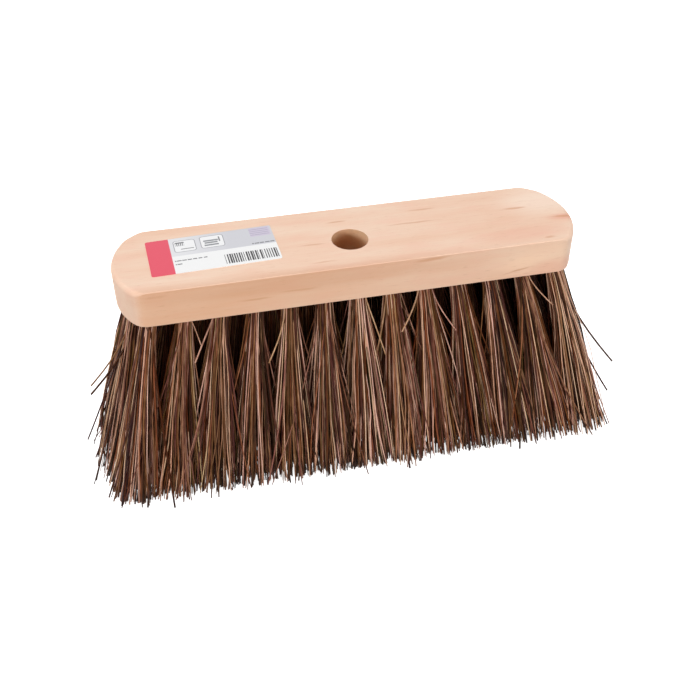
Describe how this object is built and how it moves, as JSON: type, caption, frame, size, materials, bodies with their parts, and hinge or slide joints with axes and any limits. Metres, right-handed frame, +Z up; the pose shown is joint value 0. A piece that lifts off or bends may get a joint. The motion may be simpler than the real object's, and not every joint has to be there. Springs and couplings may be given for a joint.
{
  "type": "broom",
  "caption": "Broom head: flat wooden stock with bowed ends, a slanted round handle hole, and rows of stiff brown fibre tufts that fan out to a level trim.",
  "frame": {"origin": "middle of the plane of the trimmed bristle tips, under the middle of the stock", "axes": "+X along the stock to the right as seen from the front, +Y from the front to the back, +Z up through the top face"},
  "size_m": [0.3752, 0.1138, 0.1526],
  "materials": {
    "beech": "bare planed beech, smooth and matt",
    "bass_fibre": "stiff brown plant fibre, dull with a slight sheen",
    "paper": "printed paper label, satin, red strip at its left end"
  },
  "bodies": {
    "root": {"stock": "beech", "label": "paper", "tuft_front_01": "bass_fibre", "tuft_front_02": "bass_fibre", "tuft_front_03": "bass_fibre", "tuft_front_04": "bass_fibre", "tuft_front_05": "bass_fibre", "tuft_front_06": "bass_fibre", "tuft_front_07": "bass_fibre", "tuft_front_08": "bass_fibre", "tuft_front_09": "bass_fibre", "tuft_front_10": "bass_fibre", "tuft_front_11": "bass_fibre", "tuft_front_12": "bass_fibre", "tuft_front_13": "bass_fibre", "tuft_inner_front_01": "bass_fibre", "tuft_inner_front_02": "bass_fibre", "tuft_inner_front_03": "bass_fibre", "tuft_inner_front_04": "bass_fibre", "tuft_inner_front_05": "bass_fibre", "tuft_inner_front_06": "bass_fibre", "tuft_inner_front_07": "bass_fibre", "tuft_inner_front_08": "bass_fibre", "tuft_inner_front_09": "bass_fibre", "tuft_inner_front_10": "bass_fibre", "tuft_inner_front_11": "bass_fibre", "tuft_inner_front_12": "bass_fibre", "tuft_inner_back_01": "bass_fibre", "tuft_inner_back_02": "bass_fibre", "tuft_inner_back_03": "bass_fibre", "tuft_inner_back_04": "bass_fibre", "tuft_inner_back_05": "bass_fibre", "tuft_inner_back_06": "bass_fibre", "tuft_inner_back_07": "bass_fibre", "tuft_inner_back_08": "bass_fibre", "tuft_inner_back_09": "bass_fibre", "tuft_inner_back_10": "bass_fibre", "tuft_inner_back_11": "bass_fibre", "tuft_inner_back_12": "bass_fibre", "tuft_back_01": "bass_fibre", "tuft_back_02": "bass_fibre", "tuft_back_03": "bass_fibre", "tuft_back_04": "bass_fibre", "tuft_back_05": "bass_fibre", "tuft_back_06": "bass_fibre", "tuft_back_07": "bass_fibre", "tuft_back_08": "bass_fibre", "tuft_back_09": "bass_fibre", "tuft_back_10": "bass_fibre", "tuft_back_11": "bass_fibre", "tuft_back_12": "bass_fibre", "tuft_back_13": "bass_fibre"}
  },
  "joints": []
}
